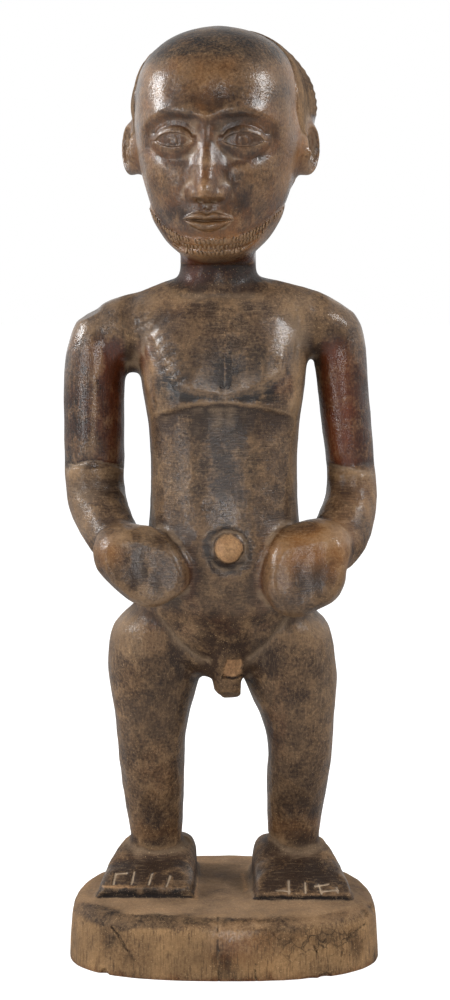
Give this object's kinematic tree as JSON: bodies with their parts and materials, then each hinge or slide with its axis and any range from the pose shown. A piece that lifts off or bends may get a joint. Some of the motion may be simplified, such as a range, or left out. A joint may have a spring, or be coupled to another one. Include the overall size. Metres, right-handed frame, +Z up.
{
  "type": "hemba ancestor figure",
  "caption": "Standing ancestor figure carved in dark wood with an oval base, hands on the belly and dressed hair; a free-standing sculpture.",
  "frame": {"origin": "middle of the flat underside of the base, on the surface it stands on", "axes": "+Z up along the figure, the figure faces -Y, and +X is to the right of someone facing it"},
  "size_m": [0.2224, 0.1758, 0.6499],
  "materials": {
    "wood": "old dark hardwood with a worn soft gloss on the figure, and dry pale wood on the base"
  },
  "bodies": {
    "root": {"ancestor_figure": "wood"}
  },
  "joints": []
}
